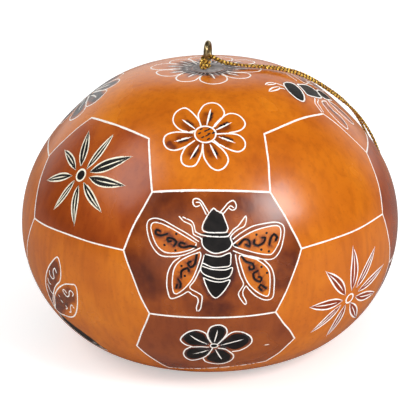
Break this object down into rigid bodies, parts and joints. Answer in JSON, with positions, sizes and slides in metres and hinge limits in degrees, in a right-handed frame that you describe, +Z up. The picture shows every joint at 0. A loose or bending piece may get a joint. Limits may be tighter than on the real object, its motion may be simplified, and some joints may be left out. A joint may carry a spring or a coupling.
{
  "type": "carved gourd ornament",
  "caption": "Squat dried gourd with incised honeycomb panels of bee, butterfly, flower and leaf motifs, a brass screw eye at the crown and a thin knotted cord loop for hanging.",
  "frame": {"origin": "on the surface that the gourd stands on, under the middle of its crown", "axes": "+Z up through the crown and the screw eye, -Y the front of the carving with the bee panel, +X to the viewer's right"},
  "size_m": [0.08, 0.08, 0.0637],
  "materials": {
    "gourd_rind": "dyed amber and red-brown rind, burnt and incised, clear gloss varnish",
    "brass": "drawn wire, slightly tarnished",
    "gold_cord": "twisted metallic yarn",
    "dried_seed": "dry, matt"
  },
  "bodies": {
    "root": {"gourd_shell": "gourd_rind", "screw_eye": "brass", "hanger_cord": "gold_cord", "hanger_knot": "gold_cord", "seeds": "dried_seed"}
  },
  "joints": []
}
